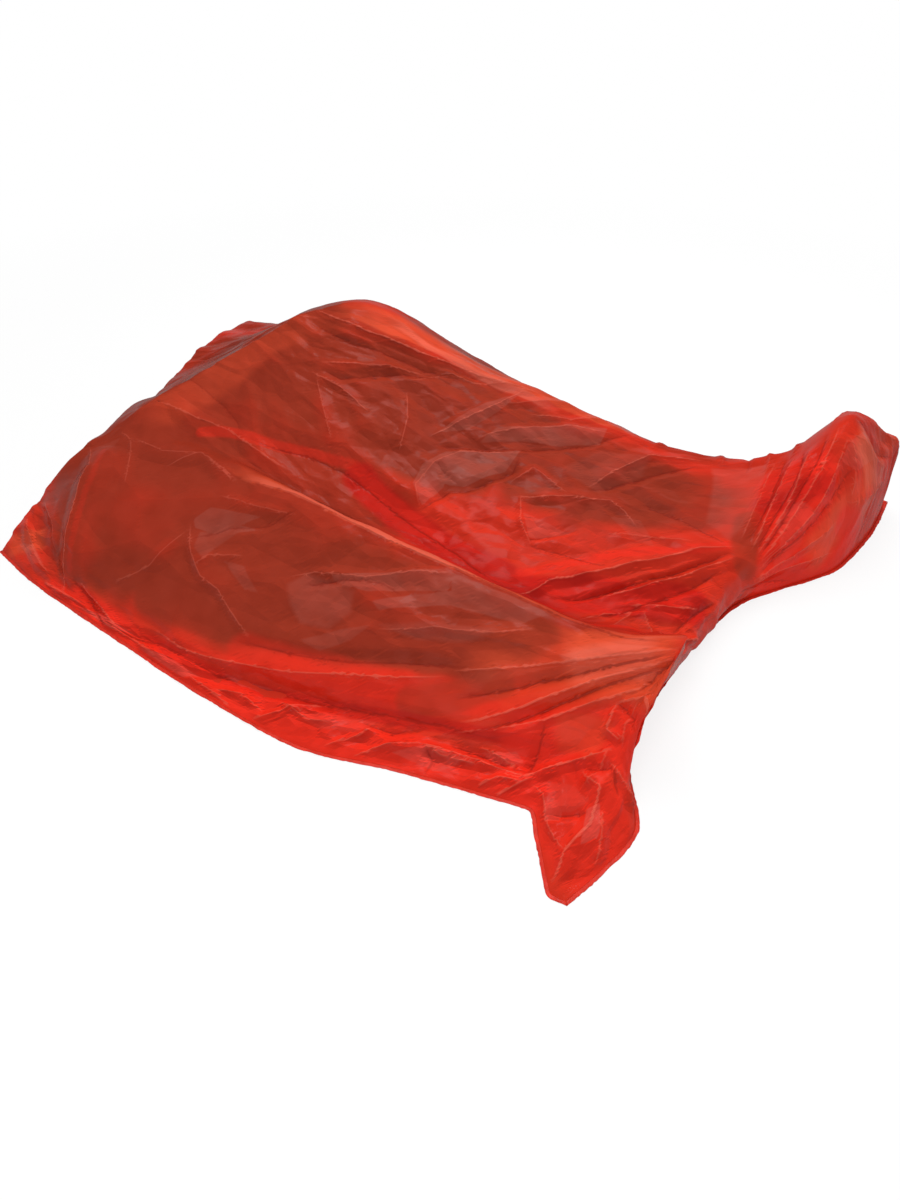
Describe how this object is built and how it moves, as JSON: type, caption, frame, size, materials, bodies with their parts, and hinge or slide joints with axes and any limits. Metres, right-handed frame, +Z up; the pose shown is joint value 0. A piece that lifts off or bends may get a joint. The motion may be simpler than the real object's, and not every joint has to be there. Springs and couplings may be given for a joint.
{
  "type": "bivvy bag",
  "caption": "Double bivvy bag of thin translucent red film, lying filled in two long mounds on the ground, open at the mouth and welded round the other sides.",
  "frame": {"origin": "on the ground, under the middle of the bag's outline", "axes": "+X from the mouth to the foot end, +Y from the near side to the far side, +Z up"},
  "size_m": [1.9114, 1.4728, 0.4159],
  "materials": {
    "upper_film": "satin",
    "lower_film": "satin",
    "welded_seam": "satin"
  },
  "bodies": {
    "bag": {"lower_film": "lower_film", "upper_film": "upper_film", "near_side_weld": "welded_seam", "foot_weld": "welded_seam", "far_side_weld": "welded_seam"},
    "lip": {"mouth_lip": "upper_film"}
  },
  "joints": [
    {"name": "mouth_lip_swing", "type": "hinge", "parent": "bag", "child": "lip", "pos_m": [-0.9532, 0, 0], "axis": [0, -1, 0], "range_deg": [0, 40]}
  ]
}
